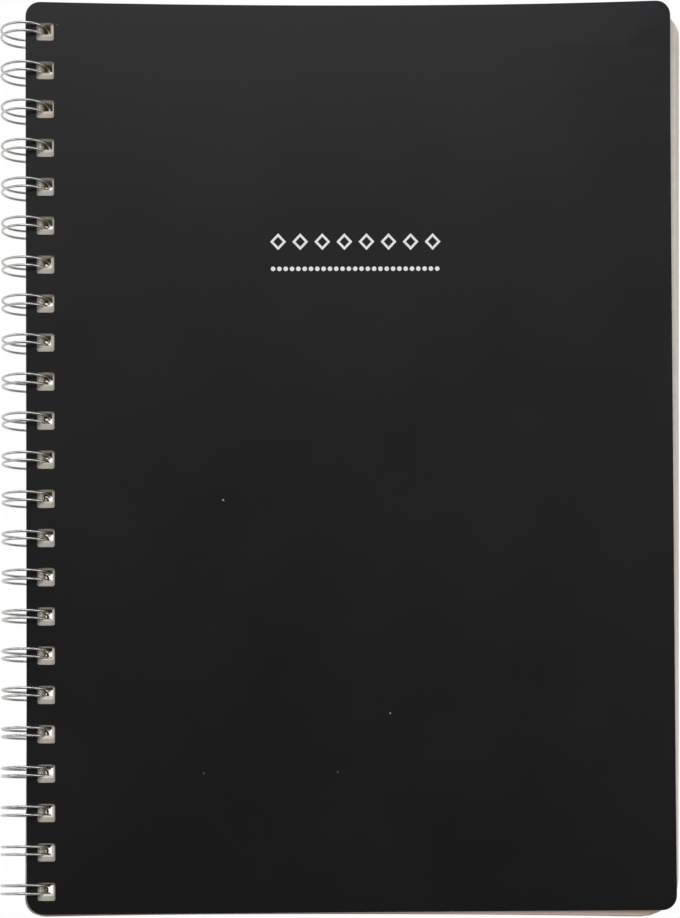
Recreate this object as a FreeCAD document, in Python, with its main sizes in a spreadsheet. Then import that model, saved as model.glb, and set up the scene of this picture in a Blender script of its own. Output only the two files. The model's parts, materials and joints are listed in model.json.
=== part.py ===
# A4 notebook bound along its long side with a twin loop wire.
#
# The stack lies flat: a board at the back, a block of leaves and a thin plastic sheet at the front. Each
# has one row of holes along the spine, and a single wire, bent into pairs of round loops, runs through all
# of them. The loops lean towards the head, and the leaves lie a little askew under the front cover.
# +X points to the fore edge, +Y to the head and +Z up, out of the front cover. Everything is placed from
# the axis of the loops, and the origin is the middle of the whole thing's footprint, at the lowest point of
# the loops. Both covers turn about the axis of the loops. Sizes are in millimetres.

import FreeCAD, Part
import math
import os
import Sketcher
from FreeCAD import Placement, Rotation, Vector

NODES = ("front_cover", "page_block", "back_cover", "twin_loop_wire")

SIZES = (
    # the leaves, their relief over the wire's straight runs, and how far they lie askew
    ("leaf_width", 211.3),
    ("leaf_length", 295.0),
    ("leaf_corner_radius", 7.0),
    ("block_thickness", 8.9),
    ("block_top", 4.7),
    ("relief_height", 1.0),
    ("relief_flat", 10.0),
    ("relief_end", 45.0),
    ("askew_angle", 0.33),
    # the front cover
    ("cover_width", 210.5),
    ("cover_length", 296.4),
    ("cover_corner_radius", 4.8),
    ("cover_thickness", 0.6),
    ("cover_clearance", 0.1),
    ("cover_row_offset", -1.17),
    # the back board
    ("board_width", 210.0),
    ("board_length", 297.0),
    ("board_corner_radius", 5.0),
    ("board_thickness", 1.2),
    ("board_clearance", 0.05),
    # the row of punched holes, the same in every sheet
    ("loop_count", 23),
    ("loop_pitch", 12.7),
    ("hole_width", 5.7),
    ("hole_height", 5.95),
    ("hole_corner_radius", 0.6),
    ("hole_margin", 3.5),
    # the wire, bent into pairs of loops
    ("wire_diameter", 0.85),
    ("loop_radius", 7.45),
    ("pair_spacing", 2.5),
    ("lean_angle", 10.0),
    ("foot_angle", 22.5),
    ("bend_length", 1.0),
    ("tip_gap", 0.45),
    ("end_stub", 1.5),
    # where the stack sits on the loops: its spine edge, and the play of the covers along the spine
    ("spine_offset", 0.6),
    ("cover_play", 0.17),
)

doc = FreeCAD.newDocument("notebook")
sheet = doc.addObject("Spreadsheet::Sheet", "sizes")
for row, (name, value) in enumerate(SIZES, start=1):
    sheet.set(f"A{row}", name)
    sheet.set(f"B{row}", str(value))
    sheet.setAlias(f"B{row}", name)
# The middle of the footprint and the lowest point, from the axis of the loops. They are filled in below.
for row, name in enumerate(("middle_x", "middle_y", "lowest_z"), start=len(SIZES) + 1):
    sheet.set(f"A{row}", name)
    sheet.set(f"B{row}", "0")
    sheet.setAlias(f"B{row}", name)
doc.recompute()


def size(name):
    """The value of a named cell."""
    return float(sheet.get(name))


def origin_feature(body, role):
    """The origin plane or axis of a body that has this role."""
    return next(feature for feature in body.Origin.OriginFeatures if feature.Role == role)


def bind(thing, expressions):
    """Bind properties of an object to expressions of the named sizes."""
    for name, expression in expressions.items():
        thing.setExpression(name, expression)


def rounded_rectangle(body, name, width, height, radius, margin=None, start=None):
    """A rounded rectangle that lies along the X axis, on the body's XY plane.

    Its left side is on the Y axis, or off it by a margin, and the sketch can start further along Y.
    """
    sketch = body.newObject("Sketcher::SketchObject", name)
    sketch.AttachmentSupport = [(origin_feature(body, "XY_Plane"), "")]
    sketch.MapMode = "FlatFace"
    if start:
        sketch.setExpression("AttachmentOffset.Base.y", start)
    left, right, top, bend = 1.0, 9.0, 4.0, 1.0
    sides = (
        ((left + bend, -top), (right - bend, -top)),
        ((right, -top + bend), (right, top - bend)),
        ((right - bend, top), (left + bend, top)),
        ((left, top - bend), (left, -top + bend)),
    )
    for first, last in sides:
        sketch.addGeometry(Part.LineSegment(Vector(*first), Vector(*last)), False)
    centres = (
        (right - bend, -top + bend),
        (right - bend, top - bend),
        (left + bend, top - bend),
        (left + bend, -top + bend),
    )
    for turn, centre in enumerate(centres):
        begin = (turn - 1) * math.pi / 2
        circle = Part.Circle(Vector(*centre), Vector(0, 0, 1), bend)
        sketch.addGeometry(Part.ArcOfCircle(circle, begin, begin + math.pi / 2), False)
    for side in range(4):
        sketch.addConstraint(Sketcher.Constraint("Tangent", side, 2, side + 4, 1))
        sketch.addConstraint(Sketcher.Constraint("Tangent", side + 4, 2, (side + 1) % 4, 1))
    sketch.addConstraint(Sketcher.Constraint("Horizontal", 0))
    sketch.addConstraint(Sketcher.Constraint("Horizontal", 2))
    sketch.addConstraint(Sketcher.Constraint("Vertical", 3))
    sketch.addConstraint(Sketcher.Constraint("Symmetric", 1, 1, 1, 2, -1))
    for arc in (5, 6, 7):
        sketch.addConstraint(Sketcher.Constraint("Equal", 4, arc))
    dimensions = [
        (Sketcher.Constraint("Radius", 4, bend), radius),
        (Sketcher.Constraint("DistanceX", 3, 1, 1, 1, right - left), width),
        (Sketcher.Constraint("DistanceY", 0, 1, 2, 1, 2 * top), height),
    ]
    if margin:
        dimensions.append((Sketcher.Constraint("DistanceX", -1, 1, 3, 1, left), margin))
    else:
        sketch.addConstraint(Sketcher.Constraint("PointOnObject", 3, 1, -2))
    for constraint, expression in dimensions:
        index = sketch.addConstraint(constraint)
        sketch.setExpression(f"Constraints[{index}]", expression)
    return sketch


def punched_sheet(label, kind, thickness, row_offset="0"):
    """A sheet with rounded corners, its top at Z = 0, and the row of holes along its spine side."""
    body = doc.addObject("PartDesign::Body", label)
    body.Label = label
    outline = rounded_rectangle(
        body, label + "_outline", f"sizes.{kind}_width", f"sizes.{kind}_length", f"sizes.{kind}_corner_radius"
    )
    pad = body.newObject("PartDesign::Pad", label + "_pad")
    pad.Profile = outline
    pad.Reversed = True
    bind(pad, {"Length": thickness})
    first_hole = f"-(sizes.loop_count - 1) / 2 * sizes.loop_pitch + ({row_offset})"
    hole = rounded_rectangle(
        body, label + "_hole", "sizes.hole_width", "sizes.hole_height", "sizes.hole_corner_radius",
        margin="sizes.hole_margin", start=first_hole,
    )
    pocket = body.newObject("PartDesign::Pocket", label + "_punch")
    pocket.Profile = hole
    pocket.Type = "ThroughAll"
    holes = body.newObject("PartDesign::LinearPattern", label + "_holes")
    holes.Originals = [pocket]
    holes.Direction = (origin_feature(body, "Y_Axis"), [""])
    bind(holes, {"Length": "(sizes.loop_count - 1) * sizes.loop_pitch", "Occurrences": "sizes.loop_count"})
    body.Tip = holes
    return body


def front_cover():
    """The plastic sheet on top. Its row of holes is nearer to the tail than to the head."""
    body = punched_sheet("front_cover", "cover", "sizes.cover_thickness", "sizes.cover_row_offset")
    bind(body, {
        "Placement.Base.x": "sizes.spine_offset - sizes.middle_x",
        "Placement.Base.y": "sizes.cover_play - sizes.cover_row_offset - sizes.middle_y",
        "Placement.Base.z": "sizes.block_top + sizes.cover_clearance + sizes.cover_thickness - sizes.lowest_z",
    })


def back_cover():
    """The board under the leaves."""
    body = punched_sheet("back_cover", "board", "sizes.board_thickness")
    bind(body, {
        "Placement.Base.x": "sizes.spine_offset - sizes.middle_x",
        "Placement.Base.y": "-sizes.cover_play - sizes.middle_y",
        "Placement.Base.z": "sizes.block_top - sizes.block_thickness - sizes.board_clearance - sizes.lowest_z",
    })


def page_block():
    """All the leaves as one solid, raised below along the spine, where the wire runs over the board."""
    body = punched_sheet("page_block", "leaf", "sizes.block_thickness")
    section = body.newObject("Sketcher::SketchObject", "page_block_relief_section")
    section.AttachmentSupport = [(origin_feature(body, "XZ_Plane"), "")]
    section.MapMode = "FlatFace"
    section.setExpression("AttachmentOffset.Base.y", "-sizes.block_thickness")
    corners = (Vector(0, 0, 0), Vector(20, 0, 0), Vector(10, 1, 0), Vector(0, 1, 0))
    for corner, point in enumerate(corners):
        section.addGeometry(Part.LineSegment(point, corners[(corner + 1) % 4]), False)
    for corner in range(4):
        section.addConstraint(Sketcher.Constraint("Coincident", corner, 2, (corner + 1) % 4, 1))
    section.addConstraint(Sketcher.Constraint("Coincident", 0, 1, -1, 1))
    section.addConstraint(Sketcher.Constraint("Horizontal", 0))
    section.addConstraint(Sketcher.Constraint("Horizontal", 2))
    section.addConstraint(Sketcher.Constraint("Vertical", 3))
    for constraint, expression in (
        (Sketcher.Constraint("DistanceX", 0, 1, 0, 2, 20.0), "sizes.relief_end"),
        (Sketcher.Constraint("DistanceX", 2, 2, 2, 1, 10.0), "sizes.relief_flat"),
        (Sketcher.Constraint("DistanceY", 3, 2, 3, 1, 1.0), "sizes.relief_height"),
    ):
        index = section.addConstraint(constraint)
        section.setExpression(f"Constraints[{index}]", expression)
    relief = body.newObject("PartDesign::Pocket", "page_block_relief")
    relief.Profile = section
    relief.Type = "ThroughAll"
    relief.Midplane = True
    body.Tip = relief
    bind(body, {
        "Placement.Base.x": "sizes.spine_offset - sizes.middle_x",
        "Placement.Base.y": "-sizes.middle_y",
        "Placement.Base.z": "sizes.block_top - sizes.lowest_z",
        "Placement.Rotation.Angle": "-sizes.askew_angle * 1 deg",
    })


def on_loop(turn, y):
    """The point of a leaning loop at a turn from the fore edge, and the way that the loop runs there."""
    radius = size("loop_radius")
    lean = Rotation(Vector(1, 0, 0), -size("lean_angle"))
    point = lean.multVec(Vector(radius * math.cos(turn), 0, radius * math.sin(turn)))
    way = lean.multVec(Vector(-math.sin(turn), 0, math.cos(turn)))
    return point + Vector(0, y, 0), way


def loop_arc(first, last, y):
    """The edge of a leaning loop between two turns."""
    ends = [on_loop(turn, y)[0] for turn in (first, (first + last) / 2, last)]
    return Part.Arc(*ends).toShape()


def bend(corner, way_in, way_out, reach):
    """The arc that rounds a corner and touches both its sides at this reach. Returns it and its two ends."""
    turned = way_in.getAngle(way_out)
    radius = reach / math.tan(turned / 2)
    first, last = corner - way_in * reach, corner + way_out * reach
    inward = (way_out - way_in).normalize()
    middle = corner + inward * (radius / math.cos(turned / 2) - radius)
    return Part.Arc(first, middle, last).toShape(), first, last


def loop_pair(y):
    """One pair of loops: up the first, round its tip and back down the second, with a bend at each foot.

    Returns the edges and their two ends, where the wire runs along Y.
    """
    along = Vector(0, 1, 0)
    radius, spacing, reach = size("loop_radius"), size("pair_spacing"), size("bend_length")
    foot = -math.radians(size("foot_angle"))
    tip = 2 * math.pi + foot - (reach + size("tip_gap") + spacing / 2) / radius
    y_up, y_down = y - spacing / 2, y + spacing / 2

    foot_up, way_up = on_loop(foot, y_up)
    foot_down, _ = on_loop(foot, y_down)
    bend_up, start, _ = bend(foot_up - way_up * reach, along, way_up, reach)
    bend_down, _, end = bend(foot_down - way_up * reach, -way_up, along, reach)

    # The tip is half a circle. Where the loops lean, one side of it stands on a short straight run.
    tip_up, way_tip = on_loop(tip, y_up)
    tip_down, _ = on_loop(tip, y_down)
    ahead = (tip_down - tip_up).dot(way_tip)
    rounded_up = tip_up + way_tip * max(ahead, 0)
    rounded_down = tip_down + way_tip * max(-ahead, 0)
    tip_radius = (rounded_down - rounded_up).Length / 2
    crown = (rounded_up + rounded_down) / 2 + way_tip * tip_radius

    edges = [bend_up, loop_arc(foot, tip, y_up)]
    if ahead > 0:
        edges.append(Part.makeLine(tip_up, rounded_up))
    edges.append(Part.Arc(rounded_up, crown, rounded_down).toShape())
    if ahead < 0:
        edges.append(Part.makeLine(rounded_down, tip_down))
    edges += [loop_arc(tip, foot, y_down), bend_down]
    return edges, start, end


def twin_loop_wire():
    """The wire: pairs of loops joined by straight runs, with a short stub at each end."""
    stub = Vector(0, size("end_stub"), 0)
    count = int(size("loop_count"))
    path, reached = [], None
    for number in range(count):
        edges, start, end = loop_pair((number - (count - 1) / 2) * size("loop_pitch"))
        path.append(Part.makeLine(reached or start - stub, start))
        path += edges
        reached = end
    path.append(Part.makeLine(reached, reached + stub))
    spine = Part.Wire(path)
    first = spine.Edges[0].firstVertex().Point
    ring = Part.Wire(Part.Circle(first, Vector(0, 1, 0), size("wire_diameter") / 2).toShape())
    swept = spine.makePipeShell([ring], True, False)

    section = math.pi * size("wire_diameter") ** 2 / 4
    if abs(swept.Volume / (section * spine.Length) - 1) > 0.001:
        raise ValueError("the wire's volume is not its section times its length")
    wire = doc.addObject("Part::Feature", "twin_loop_wire")
    wire.Label = "twin_loop_wire"
    wire.Shape = swept
    wire.Placement = Placement(Vector(0, 0, 0), Rotation())
    bind(wire, {
        "Placement.Base.x": "-sizes.middle_x",
        "Placement.Base.y": "-sizes.middle_y",
        "Placement.Base.z": "-sizes.lowest_z",
    })


def place_origin():
    """Move everything so that the origin is the middle of the footprint, at the lowest point."""
    everything = FreeCAD.BoundBox()
    for label in NODES:
        everything.add(doc.getObject(label).Shape.optimalBoundingBox(False, False))
    sheet.set(sheet.getCellFromAlias("middle_x"), repr(everything.Center.x))
    sheet.set(sheet.getCellFromAlias("middle_y"), repr(everything.Center.y))
    sheet.set(sheet.getCellFromAlias("lowest_z"), repr(everything.ZMin))
    doc.recompute()


def check_and_export():
    """Stop on a failed object or a bad shape, then write one STEP file for each sub-part."""
    for thing in doc.Objects:
        if "Invalid" in thing.State or "Error" in thing.State:
            raise ValueError(f"{thing.Name} failed: {thing.State}")
    for label in NODES:
        shape = doc.getObject(label).Shape
        if shape.isNull() or not shape.isValid() or len(shape.Solids) != 1:
            raise ValueError(f"{label} is not one valid solid")
    os.makedirs("parts", exist_ok=True)
    for label in NODES:
        doc.getObject(label).Shape.exportStep(f"parts/{label}.step")


front_cover()
page_block()
back_cover()
twin_loop_wire()
doc.recompute()
place_origin()
check_and_export()
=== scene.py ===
# A4 notebook with a twin loop wire, seen from straight above.
# Everything is in metres in the CAD frame: +X to the fore edge, +Y to the head, +Z up.
import json
import math

import bpy
import numpy as np
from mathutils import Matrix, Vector, geometry


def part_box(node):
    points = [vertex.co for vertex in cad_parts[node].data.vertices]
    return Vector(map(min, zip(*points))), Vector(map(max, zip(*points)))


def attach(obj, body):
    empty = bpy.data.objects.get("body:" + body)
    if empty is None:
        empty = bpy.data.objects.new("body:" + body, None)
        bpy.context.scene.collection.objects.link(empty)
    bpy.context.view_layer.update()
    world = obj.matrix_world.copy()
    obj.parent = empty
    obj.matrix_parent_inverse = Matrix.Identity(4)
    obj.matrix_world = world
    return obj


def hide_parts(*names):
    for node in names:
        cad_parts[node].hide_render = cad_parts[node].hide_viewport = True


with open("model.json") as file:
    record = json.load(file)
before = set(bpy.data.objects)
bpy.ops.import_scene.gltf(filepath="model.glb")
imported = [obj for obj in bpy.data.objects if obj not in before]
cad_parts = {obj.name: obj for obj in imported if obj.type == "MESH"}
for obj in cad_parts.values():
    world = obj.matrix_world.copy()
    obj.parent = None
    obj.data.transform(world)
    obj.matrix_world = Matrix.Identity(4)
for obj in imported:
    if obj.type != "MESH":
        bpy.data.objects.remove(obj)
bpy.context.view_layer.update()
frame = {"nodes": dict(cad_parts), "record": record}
mm = 0.001
rng = np.random.default_rng(11)
print("frame loaded:", sorted(frame["nodes"]))

# The axis of the loops is the hinge of both covers.
joints = frame["record"]["behaviour"]["joints"]
axis = Vector(next(joint for joint in joints if joint["name"] == "front_cover_hinge")["pos_m"])
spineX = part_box("front_cover")[0][0]
coverLow, coverHigh = (np.array(corner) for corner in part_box("front_cover"))
blockLow, blockHigh = (np.array(corner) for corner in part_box("page_block"))
boardLow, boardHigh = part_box("back_cover")

# The punched row, and the loops that run through it
row = {"count": 23, "pitch": 12.7 * mm, "boardPlay": 0.17 * mm, "loopRadius": 7.45 * mm}
rowY = (boardLow[1] + boardHigh[1]) / 2 + row["boardPlay"]
rowPlaces = rowY + (np.arange(row["count"]) - (row["count"] - 1) / 2) * row["pitch"]


# Mesh helpers

def meshObject(name, points, faces, material, smooth=False):
    mesh = bpy.data.meshes.new(name)
    mesh.from_pydata(np.asarray(points).tolist(), [], [list(map(int, f)) for f in faces])
    if smooth:
        mesh.polygons.foreach_set("use_smooth", [True] * len(mesh.polygons))
    mesh.materials.append(material)
    obj = bpy.data.objects.new(name, mesh)
    bpy.context.scene.collection.objects.link(obj)
    return obj


def unitCircle(count):
    # evenly spaced points on a circle of radius 1, anticlockwise from +X
    turns = np.linspace(0, 2 * math.pi, count, endpoint=False)
    return np.stack([np.cos(turns), np.sin(turns)], -1)


def roundedLoop(x0, x1, y0, y1, radii, perCorner, perSide=1):
    # a closed loop round a rectangle, anticlockwise from the low right corner: each corner is a quarter
    # circle of its own radius, and each side has evenly spaced points
    radii = np.broadcast_to(np.asarray(radii, float), (4,))[:, None]
    corners = np.array([(x1, y0), (x1, y1), (x0, y1), (x0, y0)])
    centres = corners + radii * np.array([(-1, 1), (-1, -1), (1, -1), (1, 1)])
    turns = np.linspace(0, math.pi / 2, perCorner)[None, :] + (np.arange(4)[:, None] - 1) * math.pi / 2
    arcs = centres[:, None, :] + radii[:, :, None] * np.stack([np.cos(turns), np.sin(turns)], -1)
    nextStart = np.roll(arcs[:, 0, :], -1, axis=0)[:, None, :]
    steps = (np.arange(1, perSide) / perSide)[None, :, None]
    sides = arcs[:, -1:, :] * (1 - steps) + nextStart * steps
    return np.concatenate([arcs, sides], axis=1).reshape(-1, 2)


def holeLoops(hole, left, places):
    # one rounded rectangle, repeated at each place along Y: an array of (holes, points, 2)
    perCorner = 3
    halfHeight = hole["height"] / 2
    one = roundedLoop(left, left + hole["width"], -halfHeight, halfHeight, hole["corner"], perCorner)
    return one[None, :, :] + np.stack([np.zeros_like(places), places], -1)[:, None, :]


def tubeFaces(rows, around, start=0):
    # quads of a tube: each row of points joins the next, and the last point of a row joins its first
    ids = start + np.arange(rows * around).reshape(rows, around)
    beside = np.roll(ids, -1, 1)
    return np.stack([ids[:-1], beside[:-1], beside[1:], ids[1:]], -1).reshape(-1, 4)


def fillPunched(outline, holes, inner):
    # triangles between an outline and its holes, through some inner points: a constrained Delaunay net,
    # worked out in millimetres
    loops = [outline] + list(holes)
    points = np.concatenate(loops + [inner])
    edges, start = [], 0
    for loop in loops:
        ids = np.arange(len(loop)) + start
        edges.append(np.stack([ids, np.roll(ids, -1)], -1))
        start += len(loop)
    scale = 1000.0
    insideOnly = 1
    samePoint = 1e-5
    found = geometry.delaunay_2d_cdt(
        [Vector(p) for p in points * scale], np.concatenate(edges).tolist(), [], insideOnly, samePoint)
    flat = np.array([tuple(v) for v in found[0]]) / scale
    faces = np.array([f for f in found[2] if len(f) == 3])
    middle = flat[faces].mean(axis=1)
    inHole = np.zeros(len(faces), bool)
    for hole in holes:
        low, high = hole.min(axis=0), hole.max(axis=0)
        inHole |= ((middle > low) & (middle < high)).all(axis=1)
    a, b, c = flat[faces[:, 0]], flat[faces[:, 1]], flat[faces[:, 2]]
    turned = (b - a)[:, 0] * (c - a)[:, 1] - (b - a)[:, 1] * (c - a)[:, 0] < 0
    faces[turned] = faces[turned][:, ::-1]
    return flat, faces[~inHole]


# Material helpers

def nodeMaterial(name):
    material = bpy.data.materials.new(name)
    material.use_nodes = True
    tree = material.node_tree
    return material, tree.nodes, tree.links, tree.nodes["Principled BSDF"]


def addNode(nodes, kind, **values):
    node = nodes.new(kind)
    for key, value in values.items():
        if key in node.inputs:
            node.inputs[key].default_value = value
        else:
            setattr(node, key, value)
    return node


def scaledCoords(nodes, links, scale):
    coords = nodes.new("ShaderNodeTexCoord")
    mapping = nodes.new("ShaderNodeMapping")
    mapping.inputs["Scale"].default_value = scale
    links.new(coords.outputs["Object"], mapping.inputs["Vector"])
    return mapping.outputs["Vector"]


def noiseOn(nodes, links, place, **values):
    noise = addNode(nodes, "ShaderNodeTexNoise", **values)
    links.new(place, noise.inputs["Vector"])
    return noise.outputs["Fac"]


def mappedRange(nodes, links, source, **values):
    # carries a value from one range to another, as From Min and To Max with the space left out
    node = nodes.new("ShaderNodeMapRange")
    for key, value in values.items():
        node.inputs[key[:-3] + " " + key[-3:]].default_value = value
    links.new(source, node.inputs["Value"])
    return node.outputs["Result"]


def colourRamp(nodes, links, source, stops):
    ramp = nodes.new("ShaderNodeValToRGB")
    for element, (place, colour) in zip(ramp.color_ramp.elements, (stops[0], stops[-1])):
        element.position = place
        element.color = (*colour, 1)
    for place, colour in stops[1:-1]:
        ramp.color_ramp.elements.new(place).color = (*colour, 1)
    links.new(source, ramp.inputs["Fac"])
    return ramp.outputs["Color"]


def addBump(nodes, links, shader, height, strength, depth):
    bump = addNode(nodes, "ShaderNodeBump", Strength=strength, Distance=depth)
    links.new(height, bump.inputs["Height"])
    links.new(bump.outputs["Normal"], shader.inputs["Normal"])


# Materials

def blackPolypropylene():
    # near-black sheet with fine cross lines from the extruder and a faint unevenness in its gloss
    look = {
        "base": (0.0018, 0.0016, 0.0018), "darker": 0.82, "paler": 1.2,
        "lines": (4.0, 1500.0, 4.0), "lineBump": 0.03, "bumpDepth": 0.2 * mm,
        "cloud": 28.0, "roughness": 0.44, "roughSlack": 0.05,
    }
    material, nodes, links, shader = nodeMaterial("blackPolypropylene")
    lines = noiseOn(nodes, links, scaledCoords(nodes, links, look["lines"]), Scale=1.0, Detail=2.0)
    cloud = noiseOn(nodes, links, scaledCoords(nodes, links, (1, 1, 1)), Scale=look["cloud"], Detail=3.0)
    base = np.array(look["base"])
    stops = [(0.3, tuple(base * look["darker"])), (0.7, tuple(base * look["paler"]))]
    links.new(colourRamp(nodes, links, lines, stops), shader.inputs["Base Color"])
    rough = mappedRange(nodes, links, cloud, ToMin=look["roughness"] - look["roughSlack"],
                        ToMax=look["roughness"] + look["roughSlack"])
    links.new(rough, shader.inputs["Roughness"])
    addBump(nodes, links, shader, lines, look["lineBump"], look["bumpDepth"])
    return material


paper = {"roughness": 0.85, "shine": 0.25}


def leafFace():
    # uncoated paper, slightly mottled, with painted shade: greyer round the holes, where the cover and wire
    # shade the ledges, and darker and warmer along the tail edge, where less light falls
    look = {
        "mottle": 350.0,
        "stops": [(0.35, (0.69, 0.67, 0.60)), (0.65, (0.76, 0.73, 0.66))],
        "paintedShadeZones": [
            # painted shade: the face greyer near the spine, where the cover and wire shade the hole ledges
            ("X", -88 * mm, -92 * mm, (0.54, 0.51, 0.45)),
            # painted shade: darker and pinker along the tail edge, where less light falls
            ("Y", -145.5 * mm, -147.0 * mm, (0.72, 0.56, 0.48)),
        ],
    }
    material, nodes, links, shader = nodeMaterial("leafFace")
    place = scaledCoords(nodes, links, (1, 1, 1))
    mottle = noiseOn(nodes, links, place, Scale=look["mottle"], Detail=5.0)
    colour = colourRamp(nodes, links, mottle, look["stops"])
    parts = nodes.new("ShaderNodeSeparateXYZ")
    links.new(place, parts.inputs[0])
    for direction, start, end, tone in look["paintedShadeZones"]:
        near = mappedRange(nodes, links, parts.outputs[direction], FromMin=start, FromMax=end)
        # for colours, the mix has its factor at 0, its two inputs at 6 and 7 and its result at 2
        mix = addNode(nodes, "ShaderNodeMix", data_type="RGBA")
        mix.inputs[7].default_value = (*tone, 1)
        links.new(near, mix.inputs[0])
        links.new(colour, mix.inputs[6])
        colour = mix.outputs[2]
    links.new(colour, shader.inputs["Base Color"])
    shader.inputs["Roughness"].default_value = paper["roughness"]
    shader.inputs["Specular IOR Level"].default_value = paper["shine"]
    return material


def leafEdges(name, dark, middle, pale):
    # cut edges of stacked leaves: each leaf has its own tone, with fibres along the cut
    look = {"tones": (6, 6, 9000), "fibres": (2500, 2500, 9000), "bump": 0.08, "bumpDepth": 0.1 * mm}
    material, nodes, links, shader = nodeMaterial(name)
    tones = noiseOn(nodes, links, scaledCoords(nodes, links, look["tones"]), Scale=1.0, Detail=1.0)
    stops = [(0.32, dark), (0.5, middle), (0.68, pale)]
    links.new(colourRamp(nodes, links, tones, stops), shader.inputs["Base Color"])
    fibres = noiseOn(nodes, links, scaledCoords(nodes, links, look["fibres"]), Scale=1.0, Detail=4.0)
    addBump(nodes, links, shader, fibres, look["bump"], look["bumpDepth"])
    shader.inputs["Roughness"].default_value = paper["roughness"]
    shader.inputs["Specular IOR Level"].default_value = paper["shine"]
    return material


def greyboard():
    # recycled board: grey-brown, with pale and dark fibres
    look = {
        "stops": [(0.3, (0.20, 0.18, 0.16)), (0.52, (0.33, 0.30, 0.27)), (0.72, (0.45, 0.42, 0.385))],
        "specks": 900.0, "stretch": (1, 0.45, 1), "bump": 0.3, "bumpDepth": 0.2 * mm, "roughness": 0.9,
    }
    material, nodes, links, shader = nodeMaterial("greyboard")
    specks = noiseOn(nodes, links, scaledCoords(nodes, links, look["stretch"]),
                     Scale=look["specks"], Detail=6.0, Roughness=0.7)
    links.new(colourRamp(nodes, links, specks, look["stops"]), shader.inputs["Base Color"])
    addBump(nodes, links, shader, specks, look["bump"], look["bumpDepth"])
    shader.inputs["Roughness"].default_value = look["roughness"]
    return material


def drawnSteel():
    # bright drawn wire: fine lines along it, and a slightly varying gloss
    look = {
        "stops": [(0.35, (0.60, 0.60, 0.59)), (0.65, (0.66, 0.66, 0.65))],
        "marks": 900.0, "stretch": (1, 3, 1), "roughness": (0.34, 0.42),
    }
    material, nodes, links, shader = nodeMaterial("drawnSteel")
    shader.inputs["Metallic"].default_value = 1.0
    marks = noiseOn(nodes, links, scaledCoords(nodes, links, look["stretch"]),
                    Scale=look["marks"], Detail=3.0)
    links.new(colourRamp(nodes, links, marks, look["stops"]), shader.inputs["Base Color"])
    low, high = look["roughness"]
    links.new(mappedRange(nodes, links, marks, ToMin=low, ToMax=high), shader.inputs["Roughness"])
    return material


def inkOrDust(name, colour, spread):
    # a thin matt layer on the cover: its tone is broken up a little
    look = {"patches": 1400.0, "roughness": 0.6}
    material, nodes, links, shader = nodeMaterial(name)
    patches = noiseOn(nodes, links, scaledCoords(nodes, links, (1, 1, 1)), Scale=look["patches"], Detail=3.0)
    base = np.array(colour)
    stops = [(0.35, tuple(base * (1 - spread))), (0.6, tuple(base))]
    links.new(colourRamp(nodes, links, patches, stops), shader.inputs["Base Color"])
    shader.inputs["Roughness"].default_value = look["roughness"]
    return material


def floorWhite():
    # white to the camera and in reflections. It still takes the object's shadow
    look = {"base": (0.85, 0.85, 0.85, 1), "roughness": 0.9, "glowShare": 0.985}
    material, nodes, links, shader = nodeMaterial("floorWhite")
    shader.inputs["Base Color"].default_value = look["base"]
    shader.inputs["Roughness"].default_value = look["roughness"]
    glow = addNode(nodes, "ShaderNodeEmission", Color=(1, 1, 1, 1), Strength=1.0)
    path = nodes.new("ShaderNodeLightPath")
    seen = path.outputs["Is Camera Ray"]
    for kind in ("Is Glossy Ray", "Is Transmission Ray"):
        either = addNode(nodes, "ShaderNodeMath", operation="MAXIMUM")
        links.new(seen, either.inputs[0])
        links.new(path.outputs[kind], either.inputs[1])
        seen = either.outputs[0]
    share = addNode(nodes, "ShaderNodeMath", operation="MULTIPLY")
    share.inputs[1].default_value = look["glowShare"]
    links.new(seen, share.inputs[0])
    mix = nodes.new("ShaderNodeMixShader")
    links.new(share.outputs[0], mix.inputs["Fac"])
    links.new(shader.outputs[0], mix.inputs[1])
    links.new(glow.outputs[0], mix.inputs[2])
    links.new(mix.outputs[0], nodes["Material Output"].inputs["Surface"])
    return material


# Cut edges of the leaves, each as its dark, middle and pale tone
edgeTones = {
    "leafEdges": ((0.66, 0.57, 0.49), (0.82, 0.76, 0.69), (0.92, 0.88, 0.84)),
    # painted shade: a darker, pinker copy of the cut edges for the tail side, standing in for the lesser
    # light there
    "tailEdgesPaintedShade": ((0.46, 0.33, 0.27), (0.62, 0.48, 0.40), (0.76, 0.64, 0.56)),
    # painted light: a paler copy of the cut edges for the hole walls, standing in for light the deep holes
    # lack
    "holeWallsPaintedLight": ((0.72, 0.62, 0.46), (0.90, 0.84, 0.70), (0.96, 0.92, 0.82)),
}
coverMaterial = blackPolypropylene()
paperMaterials = {name: leafEdges(name, *tones) for name, tones in edgeTones.items()}
paperMaterials["leafFace"] = leafFace()
boardMaterial = greyboard()
wireMaterial = drawnSteel()
print("materials ready")

# Front cover

cover = {
    "corner": (4.8 * mm, 4.8 * mm, 4.8 * mm, 5.6 * mm),
    "thickness": 0.6 * mm,
    "hole": {
        "width": 5.7 * mm, "height": 5.95 * mm, "corner": 0.6 * mm,
        "margin": 3.5 * mm, "rise": 0.17 * mm,
    },
    "perCorner": 9,
    "perSide": 24,
    "grid": 12 * mm,
    "gridStart": 6 * mm,
    "gridEnd": 5 * mm,
    "cornerLift": {
        "headSpine": 0.15 * mm, "headFore": 1.6 * mm,
        "tailFore": 0.8 * mm, "tailSpine": 0.15 * mm,
    },
    "liftReach": 75 * mm,
    "turn": math.radians(0.06),
    "push": 0.18 * mm,
    "headDip": 1.3 * mm,
    "dipReach": 58 * mm,
}


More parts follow.
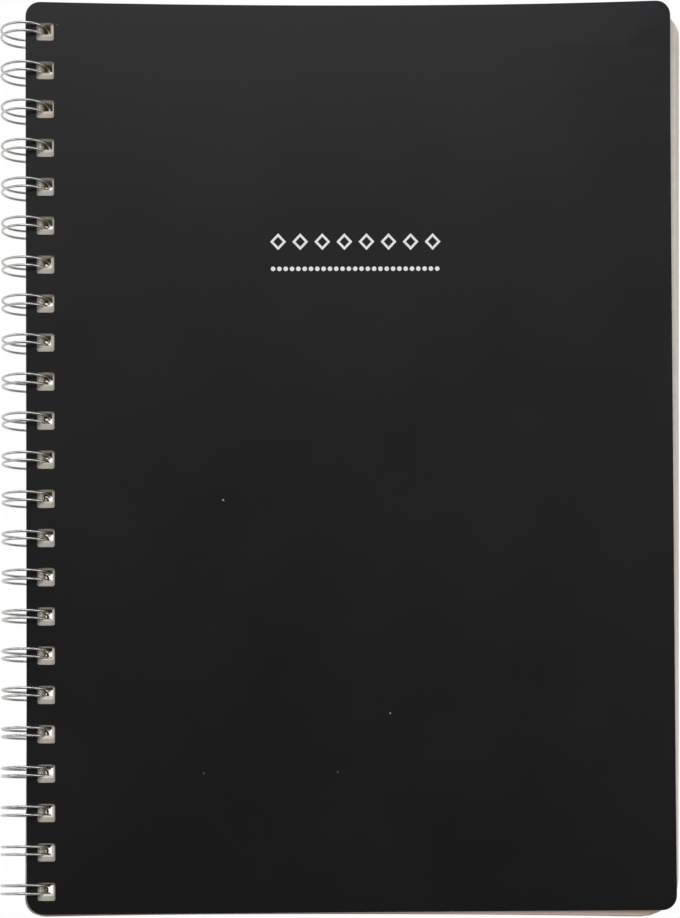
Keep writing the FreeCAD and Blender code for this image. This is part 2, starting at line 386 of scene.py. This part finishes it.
def coverTop(x, y):
    # height of the cover's upper face: flat, and each corner lifts with the square of its nearness
    height = np.full_like(x, coverHigh[2])
    corners = {
        "headSpine": (coverLow[0], coverHigh[1]), "headFore": (coverHigh[0], coverHigh[1]),
        "tailFore": (coverHigh[0], coverLow[1]), "tailSpine": (coverLow[0], coverLow[1]),
    }
    for name, (cornerX, cornerY) in corners.items():
        near = np.clip(1 - np.hypot(x - cornerX, y - cornerY) / cover["liftReach"], 0, 1)
        height = height + cover["cornerLift"][name] * near ** 2
    return height


def onCover(flat, lift):
    # flat points laid just above the cover's upper face
    return np.column_stack([flat, coverTop(flat[:, 0], flat[:, 1]) + lift])


def seated(flat):
    # the cover as it lies: its head edge slightly hollow, then turned and pushed a little in the play of
    # its holes
    x, y = flat[:, 0], flat[:, 1]
    across = (2 * x - coverLow[0] - coverHigh[0]) / (coverHigh[0] - coverLow[0])
    near = np.clip(1 - (coverHigh[1] - y) / cover["dipReach"], 0, 1)
    y = y - cover["headDip"] * np.clip(1 - across ** 2, 0, 1) * near ** 2
    cos, sin = math.cos(cover["turn"]), math.sin(cover["turn"])
    fromSpine, fromRow = x - coverLow[0], y - rowY
    return np.column_stack([coverLow[0] + cover["push"] + fromSpine * cos - fromRow * sin,
                            rowY + fromSpine * sin + fromRow * cos])


def makeCover():
    # flat sheet with its holes, seated and lifted at the corners. The modifier gives it its thickness
    hole = cover["hole"]
    outline = roundedLoop(coverLow[0], coverHigh[0], coverLow[1], coverHigh[1],
                          cover["corner"], cover["perCorner"], cover["perSide"])
    holes = holeLoops(hole, coverLow[0] + hole["margin"], rowPlaces + hole["rise"])
    xs = np.arange(coverLow[0] + hole["margin"] + hole["width"] + cover["gridStart"],
                   coverHigh[0] - cover["gridEnd"], cover["grid"])
    ys = np.arange(coverLow[1] + cover["gridStart"], coverHigh[1] - cover["gridEnd"], cover["grid"])
    inner = np.stack(np.meshgrid(xs, ys), -1).reshape(-1, 2)
    flat, faces = fillPunched(outline, holes, inner)
    points = np.column_stack([seated(flat), coverTop(flat[:, 0], flat[:, 1])])
    obj = meshObject("frontCoverSheet", points, faces, coverMaterial)
    wall = obj.modifiers.new("thickness", "SOLIDIFY")
    wall.thickness = cover["thickness"]
    wall.offset = -1
    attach(obj, "front")
    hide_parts("front_cover")


makeCover()
print("front cover done")

# Leaves

leaves = {
    "count": 80,
    "width": 210.8 * mm,
    "length": 295.0 * mm,
    "corner": (12.0 * mm, 7.0 * mm, 7.0 * mm, 5.0 * mm),
    "perCorner": 7,
    "perSide": 12,
    "hole": {
        "width": 4.6 * mm, "height": 3.9 * mm, "corner": 0.4 * mm,
        "margin": 4.15 * mm, "rise": 0.75 * mm,
    },
    "holeSlack": 0.14 * mm,
    "lift": 8,
    "liftSlack": 0.25 * mm,
    "askew": math.radians(-0.43),
    "askewSlack": 0.12,
    "push": np.array([0.65 * mm, 0.4 * mm]),
    "tailDip": 0.8 * mm,
    "tailBand": 1.5 * mm,
    "lean": math.tan(math.radians(11.5)),
    "reliefHeight": 1.0 * mm,
    "reliefFlat": 10.0 * mm,
    "reliefEnd": 45.0 * mm,
    "slack": 0.10 * mm,
}


def makeLeaves():
    # One skin round the stack. Each leaf is a step in the walls of the outline and of every hole: it is moved
    # by the lean and the bulge of the loops, and by a small slip of its own.
    count = leaves["count"]
    top, bottom = blockHigh[2], blockLow[2]
    levels = np.repeat(np.arange(count + 1), 2)[1:-1] / count
    leaf = np.repeat(np.arange(count), 2)
    middle = (levels[0::2] + levels[1::2]) / 2
    height = bottom + (top - bottom) * middle - axis.z
    reach = np.sqrt(np.maximum(row["loopRadius"] ** 2 - height ** 2, 0))
    atTop = math.sqrt(row["loopRadius"] ** 2 - (top - axis.z) ** 2)
    slip = rng.normal(0, leaves["slack"], (count, 2))
    shift = np.stack([np.maximum(reach - atTop, 0), (height - (top - axis.z)) * leaves["lean"]], -1) + slip
    fan = leaves["askew"] * (1 + rng.normal(0, leaves["askewSlack"], count))
    straight = np.zeros(count)

    def walls(loop, turn, ragged=0):
        # the loop's points, in the leaf's own plane, at every level: an array of (levels, points, 3)
        cos, sin = np.cos(turn)[:, None], np.sin(turn)[:, None]
        moved = shift + ragged
        x = loop[None, :, 0] * cos - loop[None, :, 1] * sin + moved[:, 0:1]
        y = loop[None, :, 0] * sin + loop[None, :, 1] * cos + moved[:, 1:2]
        x, y = x[leaf], y[leaf]
        relief = (leaves["reliefEnd"] - loop[:, 0]) / (leaves["reliefEnd"] - leaves["reliefFlat"])
        low = bottom + leaves["reliefHeight"] * np.clip(relief, 0, 1)[None, :]
        heights = low + (top - low) * levels[:, None]
        return np.stack([spineX + x, rowY + y, heights], -1)

    def holeShift():
        # raggedness of one hole, from lift to lift and from leaf to leaf: it keeps to the side away from
        # the wire
        lifts = rng.normal(0, leaves["liftSlack"], (count // leaves["lift"] + 1, 2))
        ragged = lifts[np.arange(count) // leaves["lift"]] + rng.normal(0, leaves["holeSlack"], (count, 2))
        ragged[-1] = 0
        return np.abs(ragged) * np.array([-1, 1])

    outline = roundedLoop(0, leaves["width"], -leaves["length"] / 2, leaves["length"] / 2,
                          leaves["corner"], leaves["perCorner"], leaves["perSide"])
    across = np.clip(2 * outline[:, 0] / leaves["width"] - 1, -1, 1)
    outline[:, 1] += leaves["tailDip"] * (1 - across ** 2) * (outline[:, 1] < 0)
    tail = outline[:, 1] < -leaves["length"] / 2 + leaves["tailBand"]
    outline = outline + leaves["push"]
    holes = holeLoops(leaves["hole"], leaves["hole"]["margin"], rowPlaces - rowY + leaves["hole"]["rise"])
    loops = [outline] + list(holes)

    # the walls: a tube round the outline, and one in each hole, which faces inwards
    tubes = [walls(outline, fan)] + [walls(hole, straight, holeShift()) for hole in holes]
    wallFaces, firstRows, start = [], [], 0
    for number, tube in enumerate(tubes):
        rows, around = tube.shape[:2]
        quads = tubeFaces(rows, around, start)
        wallFaces.append(quads if number == 0 else quads[:, ::-1])
        firstRows.append(start + np.arange(around))
        start += rows * around

    # the lowest and the highest face join the end rows of all tubes, through a few points of their own
    inner = np.array([[leaves["reliefFlat"], 0.0], [leaves["reliefEnd"], 0.0]])
    flat, cap = fillPunched(outline, holes, inner)
    net = walls(flat[sum(len(loop) for loop in loops):], straight)
    netIds = start + np.arange(net.shape[1])
    lastRows = [ids + (len(levels) - 1) * len(ids) for ids in firstRows]
    lowIds = np.concatenate(firstRows + [netIds])
    highIds = np.concatenate(lastRows + [netIds + len(netIds)])
    points = np.concatenate([tube.reshape(-1, 3) for tube in tubes] + [net[0], net[-1]])
    faces = np.concatenate(wallFaces).tolist() + lowIds[cap[:, ::-1]].tolist() + highIds[cap].tolist()

    slotNames = ["leafEdges", "leafFace", "holeWallsPaintedLight", "tailEdgesPaintedShade"]
    obj = meshObject("leafStack", points, faces, paperMaterials[slotNames[0]])
    for name in slotNames[1:]:
        obj.data.materials.append(paperMaterials[name])
    # painted shade: the tail band of the outline takes the darker copy of the edges
    onTail = np.where(tail & np.roll(tail, -1), slotNames.index("tailEdgesPaintedShade"), slotNames.index("leafEdges"))
    # painted light: faces not set below, the hole walls, take the paler copy of the edges
    slots = np.full(len(faces), slotNames.index("holeWallsPaintedLight"), np.int32)
    slots[:len(wallFaces[0])] = np.tile(onTail, len(wallFaces[0]) // len(tail))
    slots[-2 * len(cap):] = slotNames.index("leafFace")
    obj.data.polygons.foreach_set("material_index", slots)
    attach(obj, "leaves")
    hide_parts("page_block")


makeLeaves()
print("leaves done")

# Twin loop wire

wire = {
    "radius": 0.425 * mm,
    "spacing": 2.5 * mm,
    "lean": math.radians(10.0),
    "foot": math.radians(-22.5),
    "reach": 1.0 * mm,
    "tipGap": 0.45 * mm,
    "stub": 1.5 * mm,
    "wide": 1.04,
    "bow": 0.40 * mm,
    "bowShift": -0.20 * mm,
    "leanSlack": 0.010,
    "opening": 0.008,
    "openingSlack": 0.010,
    "openingReach": 1 * mm,
    "around": 12,
    "bendSteps": 8,
    "tipSteps": 14,
    "loopSteps": 72,
    "leastStep": 0.02 * mm,
}
along = np.array([0.0, 1.0, 0.0])


def arcPoints(corner, wayIn, wayOut, reach, steps):
    # points on the arc that rounds a corner: it touches both sides at this reach
    turned = math.acos(np.clip(np.dot(wayIn, wayOut), -1, 1))
    radius = reach / math.tan(turned / 2)
    first = corner - wayIn * reach
    inward = wayOut - wayIn * np.dot(wayIn, wayOut)
    inward = inward / np.linalg.norm(inward)
    angles = np.linspace(0, turned, steps)[:, None]
    return first + radius * np.sin(angles) * wayIn + radius * (1 - np.cos(angles)) * inward


def loopPair():
    # line of the wire at one hole: from a straight run up one loop, round its tip and down the next
    cosLean, sinLean = math.cos(wire["lean"]), math.sin(wire["lean"])
    radius, reach, bendSteps = row["loopRadius"], wire["reach"], wire["bendSteps"]

    def onLoop(turn, y):
        turn = np.atleast_1d(turn)
        x, z = radius * np.cos(turn), radius * np.sin(turn)
        return np.stack([x, y + z * sinLean, z * cosLean], -1)

    def wayOnLoop(turn):
        return np.array([-math.sin(turn), math.cos(turn) * sinLean, math.cos(turn) * cosLean])

    foot = wire["foot"]
    tip = 2 * math.pi + foot - (reach + wire["tipGap"] + wire["spacing"] / 2) / radius
    yUp, yDown = -wire["spacing"] / 2, wire["spacing"] / 2
    up, wayTip = wayOnLoop(foot), wayOnLoop(tip)
    bendUp = arcPoints(onLoop(foot, yUp)[0] - up * reach, along, up, reach, bendSteps)
    bendDown = arcPoints(onLoop(foot, yDown)[0] - up * reach, -up, along, reach, bendSteps)
    tipUp, tipDown = onLoop(tip, yUp)[0], onLoop(tip, yDown)[0]
    ahead = np.dot(tipDown - tipUp, wayTip)
    roundUp, roundDown = tipUp + wayTip * max(ahead, 0), tipDown + wayTip * max(-ahead, 0)
    tipMiddle, across = (roundUp + roundDown) / 2, (roundUp - roundDown) / 2
    tipRadius = np.linalg.norm(across)
    angles = np.linspace(0, math.pi, wire["tipSteps"])[:, None]
    tipArc = tipMiddle + np.cos(angles) * across + np.sin(angles) * tipRadius * wayTip
    turns = np.linspace(foot, tip, wire["loopSteps"])
    one = np.concatenate([bendUp[:-1], onLoop(turns, yUp), tipArc, onLoop(turns[::-1], yDown), bendDown[1:]])
    gaps = np.linalg.norm(np.diff(one, axis=0), axis=1)
    return one[np.concatenate([[True], gaps > wire["leastStep"]])]


def wirePath():
    # the pair of loops at every hole, in one line from stub to stub. The row is bowed and the loops widened
    one = loopPair()
    path = one[None, :, :] + rowPlaces[:, None, None] * along
    # each pair leans and opens a little differently, more with its height over the straight runs
    height = one[None, :, 2] - one[0, 2]
    lean = rng.normal(0, wire["leanSlack"], (row["count"], 1))
    opening = rng.normal(wire["opening"], wire["openingSlack"], (row["count"], 1))
    fromMiddle = one[None, :, 1] - height * math.sin(wire["lean"])
    side = np.clip(fromMiddle, -wire["openingReach"], wire["openingReach"]) / wire["openingReach"]
    path[:, :, 1] += height * (lean + opening * side)
    path = path.reshape(-1, 3)
    ends = wire["stub"] * along
    path = np.concatenate([[path[0] - ends], path, [path[-1] + ends]])
    towardsMiddle = 1 - ((path[:, 1] - rowY) / (coverHigh[1] - rowY)) ** 2
    path[:, 0] = path[:, 0] * wire["wide"] + wire["bow"] * towardsMiddle + wire["bowShift"]
    return path


def makeWire():
    # a round section carried along the path. Its zero is turned to the loop's own radius, so it never twists
    path = wirePath()
    way = np.gradient(path, axis=0)
    way /= np.linalg.norm(way, axis=1, keepdims=True)
    outward = path * np.array([1.0, 0.0, 1.0])
    outward -= way * (outward * way).sum(axis=1, keepdims=True)
    outward /= np.linalg.norm(outward, axis=1, keepdims=True)
    side = np.cross(way, outward)
    circle = unitCircle(wire["around"])
    rings = path[:, None, :] + wire["radius"] * (
        circle[None, :, 0:1] * outward[:, None, :] + circle[None, :, 1:2] * side[:, None, :])
    rings = rings + np.array([axis.x, 0, axis.z])
    rows, around = rings.shape[:2]
    firstRow = np.arange(around)
    endFaces = [firstRow[::-1].tolist(), (firstRow + (rows - 1) * around).tolist()]
    faces = tubeFaces(rows, around).tolist() + endFaces
    obj = meshObject("loopWire", rings.reshape(-1, 3), faces, wireMaterial, smooth=True)
    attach(obj, "leaves")
    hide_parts("twin_loop_wire")


makeWire()
print("wire done")

# Back cover keeps its CAD shape
frame["nodes"]["back_cover"].data.materials.clear()
frame["nodes"]["back_cover"].data.materials.append(boardMaterial)
print("back cover done")

# Print on the cover: a row of open diamonds over a dotted line

printed = {
    "ink": (0.97, 0.97, 0.96),
    "inkSpread": 0.06,
    "lift": 0.02 * mm,
    "diamonds": 8,
    "diamondPitch": 7.2 * mm,
    "diamondMiddle": (5.5 * mm, 70.5 * mm),
    "diamondHalf": (2.6 * mm, 2.75 * mm),
    "stroke": 0.75 * mm,
    "dots": 27,
    "dotPitch": 2.058 * mm,
    "dotMiddle": (5.4 * mm, 61.65 * mm),
    "dotRadius": 0.75 * mm,
    "dotPoints": 20,
}


def rowOf(shape, count, pitch, middle):
    # one flat shape, copied along X about a middle
    places = np.stack([(np.arange(count) - (count - 1) / 2) * pitch, np.zeros(count)], -1) + middle
    return (shape[None, :, :] + places[:, None, :]).reshape(-1, 2)


def makePrint():
    # flat shapes on the cover: square rings stood on a corner, and discs
    half = np.array(printed["diamondHalf"])
    outer = half * unitCircle(4)
    inner = outer * (1 - printed["stroke"] * math.sqrt(2) / half[0])
    ring = np.concatenate([outer, inner])
    ids = np.arange(4)
    ringFaces = np.stack([ids, (ids + 1) % 4, (ids + 1) % 4 + 4, ids + 4], -1)
    ringStarts = np.arange(printed["diamonds"]) * len(ring)
    disc = printed["dotRadius"] * unitCircle(printed["dotPoints"])
    diamonds = rowOf(ring, printed["diamonds"], printed["diamondPitch"], printed["diamondMiddle"])
    dots = rowOf(disc, printed["dots"], printed["dotPitch"], printed["dotMiddle"])
    diamondFaces = (ringFaces[None] + ringStarts[:, None, None]).reshape(-1, 4).tolist()
    dotFaces = (len(diamonds) + np.arange(len(dots))).reshape(printed["dots"], -1).tolist()
    points = onCover(np.concatenate([diamonds, dots]), printed["lift"])
    ink = inkOrDust("whiteInk", printed["ink"], printed["inkSpread"])
    obj = meshObject("coverPrint", points, diamondFaces + dotFaces, ink)
    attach(obj, "front")


makePrint()
print("print on the cover done")

# Specks on the cover. Each place is X, Y and radius in millimetres
specks = {
    "lift": 0.02 * mm,
    "points": 10,
    "waves": (0.25, 0.15),
    "spread": 0.3,
    "tones": {
        "pale": {
            "colour": (0.42, 0.40, 0.40),
            "at": ((-37.8, -13.6, 0.34), (16.2, -82.9, 0.30), (-91.5, 141.5, 0.17)),
        },
        "reddish": {
            "colour": (0.16, 0.045, 0.04),
            "at": ((-44.3, -102.0, 0.34), (-0.9, -101.9, 0.34)),
        },
    },
}


def makeSpecks(tone):
    # each speck is an uneven little disc: its radius is a circle's with two slow waves on it
    circle = unitCircle(specks["points"])
    turns = np.linspace(0, 2 * math.pi, specks["points"], endpoint=False)
    places = np.array(specks["tones"][tone]["at"]) * mm
    phases = rng.uniform(0, 2 * math.pi, (len(places), 2))
    twice, thrice = specks["waves"]
    waves = 1 + twice * np.sin(2 * turns + phases[:, 0:1]) + thrice * np.sin(3 * turns + phases[:, 1:2])
    radii = places[:, 2:3] * waves
    flat = (places[:, None, :2] + radii[:, :, None] * circle).reshape(-1, 2)
    faces = np.arange(len(flat)).reshape(len(places), -1).tolist()
    dust = inkOrDust(tone + "Dust", specks["tones"][tone]["colour"], specks["spread"])
    obj = meshObject(tone + "Specks", onCover(flat, specks["lift"]), faces, dust)
    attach(obj, "front")


for tone in specks["tones"]:
    makeSpecks(tone)
print("specks done")

# Stage, light and camera

studio = {
    "floorHalf": 4,
    "worldLevel": 0.055,
    "worldSeen": 1.0,
    "lamps": {
        "headSoftbox": {
            "place": (0.0, 1.35, 1.5), "aim": (0, 0.05, 0), "size": (1.6, 1.0),
            "power": 23.5, "colour": (0.95, 0.94, 1.0),
        },
        "leftSoftbox": {
            "place": (-1.7, 0.1, 1.3), "aim": (0, 0, 0), "size": (1.2, 1.4),
            "power": 13, "colour": (1.0, 0.96, 0.92),
        },
        "rightSoftbox": {
            "place": (1.8, -0.2, 1.2), "aim": (0, 0, 0), "size": (1.2, 1.4),
            "power": 16, "colour": (1.0, 0.97, 0.94),
        },
    },
}
view = {
    "place": (-12.15 * mm, -16.35 * mm, 721.7 * mm),
    "turn": (1.296, -0.995, -0.211),
    "lens": 85.46,
    "sensor": 36,
    "clipStart": 0.01,
}


def areaLight(name, place, aim, size, power, colour):
    data = bpy.data.lights.new(name, "AREA")
    data.shape = "RECTANGLE"
    data.size, data.size_y = size
    data.energy = power
    data.color = colour
    obj = bpy.data.objects.new(name, data)
    obj.location = place
    obj.rotation_euler = (Vector(aim) - Vector(place)).to_track_quat("-Z", "Y").to_euler()
    bpy.context.scene.collection.objects.link(obj)


half = studio["floorHalf"]
floorCorners = [(-half, -half, 0), (half, -half, 0), (half, half, 0), (-half, half, 0)]
floor = meshObject("floor", floorCorners, [(0, 1, 2, 3)], floorWhite())
for name, lamp in studio["lamps"].items():
    areaLight(name, **lamp)

world = bpy.data.worlds.new("studio")
bpy.context.scene.world = world
world.use_nodes = True
worldNodes, worldLinks = world.node_tree.nodes, world.node_tree.links
background = worldNodes["Background"]
background.inputs["Color"].default_value = (1, 1, 1, 1)
worldPath = worldNodes.new("ShaderNodeLightPath")
worldLevel = mappedRange(worldNodes, worldLinks, worldPath.outputs["Is Camera Ray"],
                         ToMin=studio["worldLevel"], ToMax=studio["worldSeen"])
worldLinks.new(worldLevel, background.inputs["Strength"])

cameraData = bpy.data.cameras.new("camera")
cameraData.lens = view["lens"]
cameraData.sensor_width = view["sensor"]
cameraData.clip_start = view["clipStart"]
camera = bpy.data.objects.new("camera", cameraData)
camera.location = view["place"]
camera.rotation_euler = [math.radians(a) for a in view["turn"]]
bpy.context.scene.collection.objects.link(camera)
bpy.context.scene.camera = camera
bpy.context.scene.view_settings.view_transform = "Standard"
print("stage and camera done")
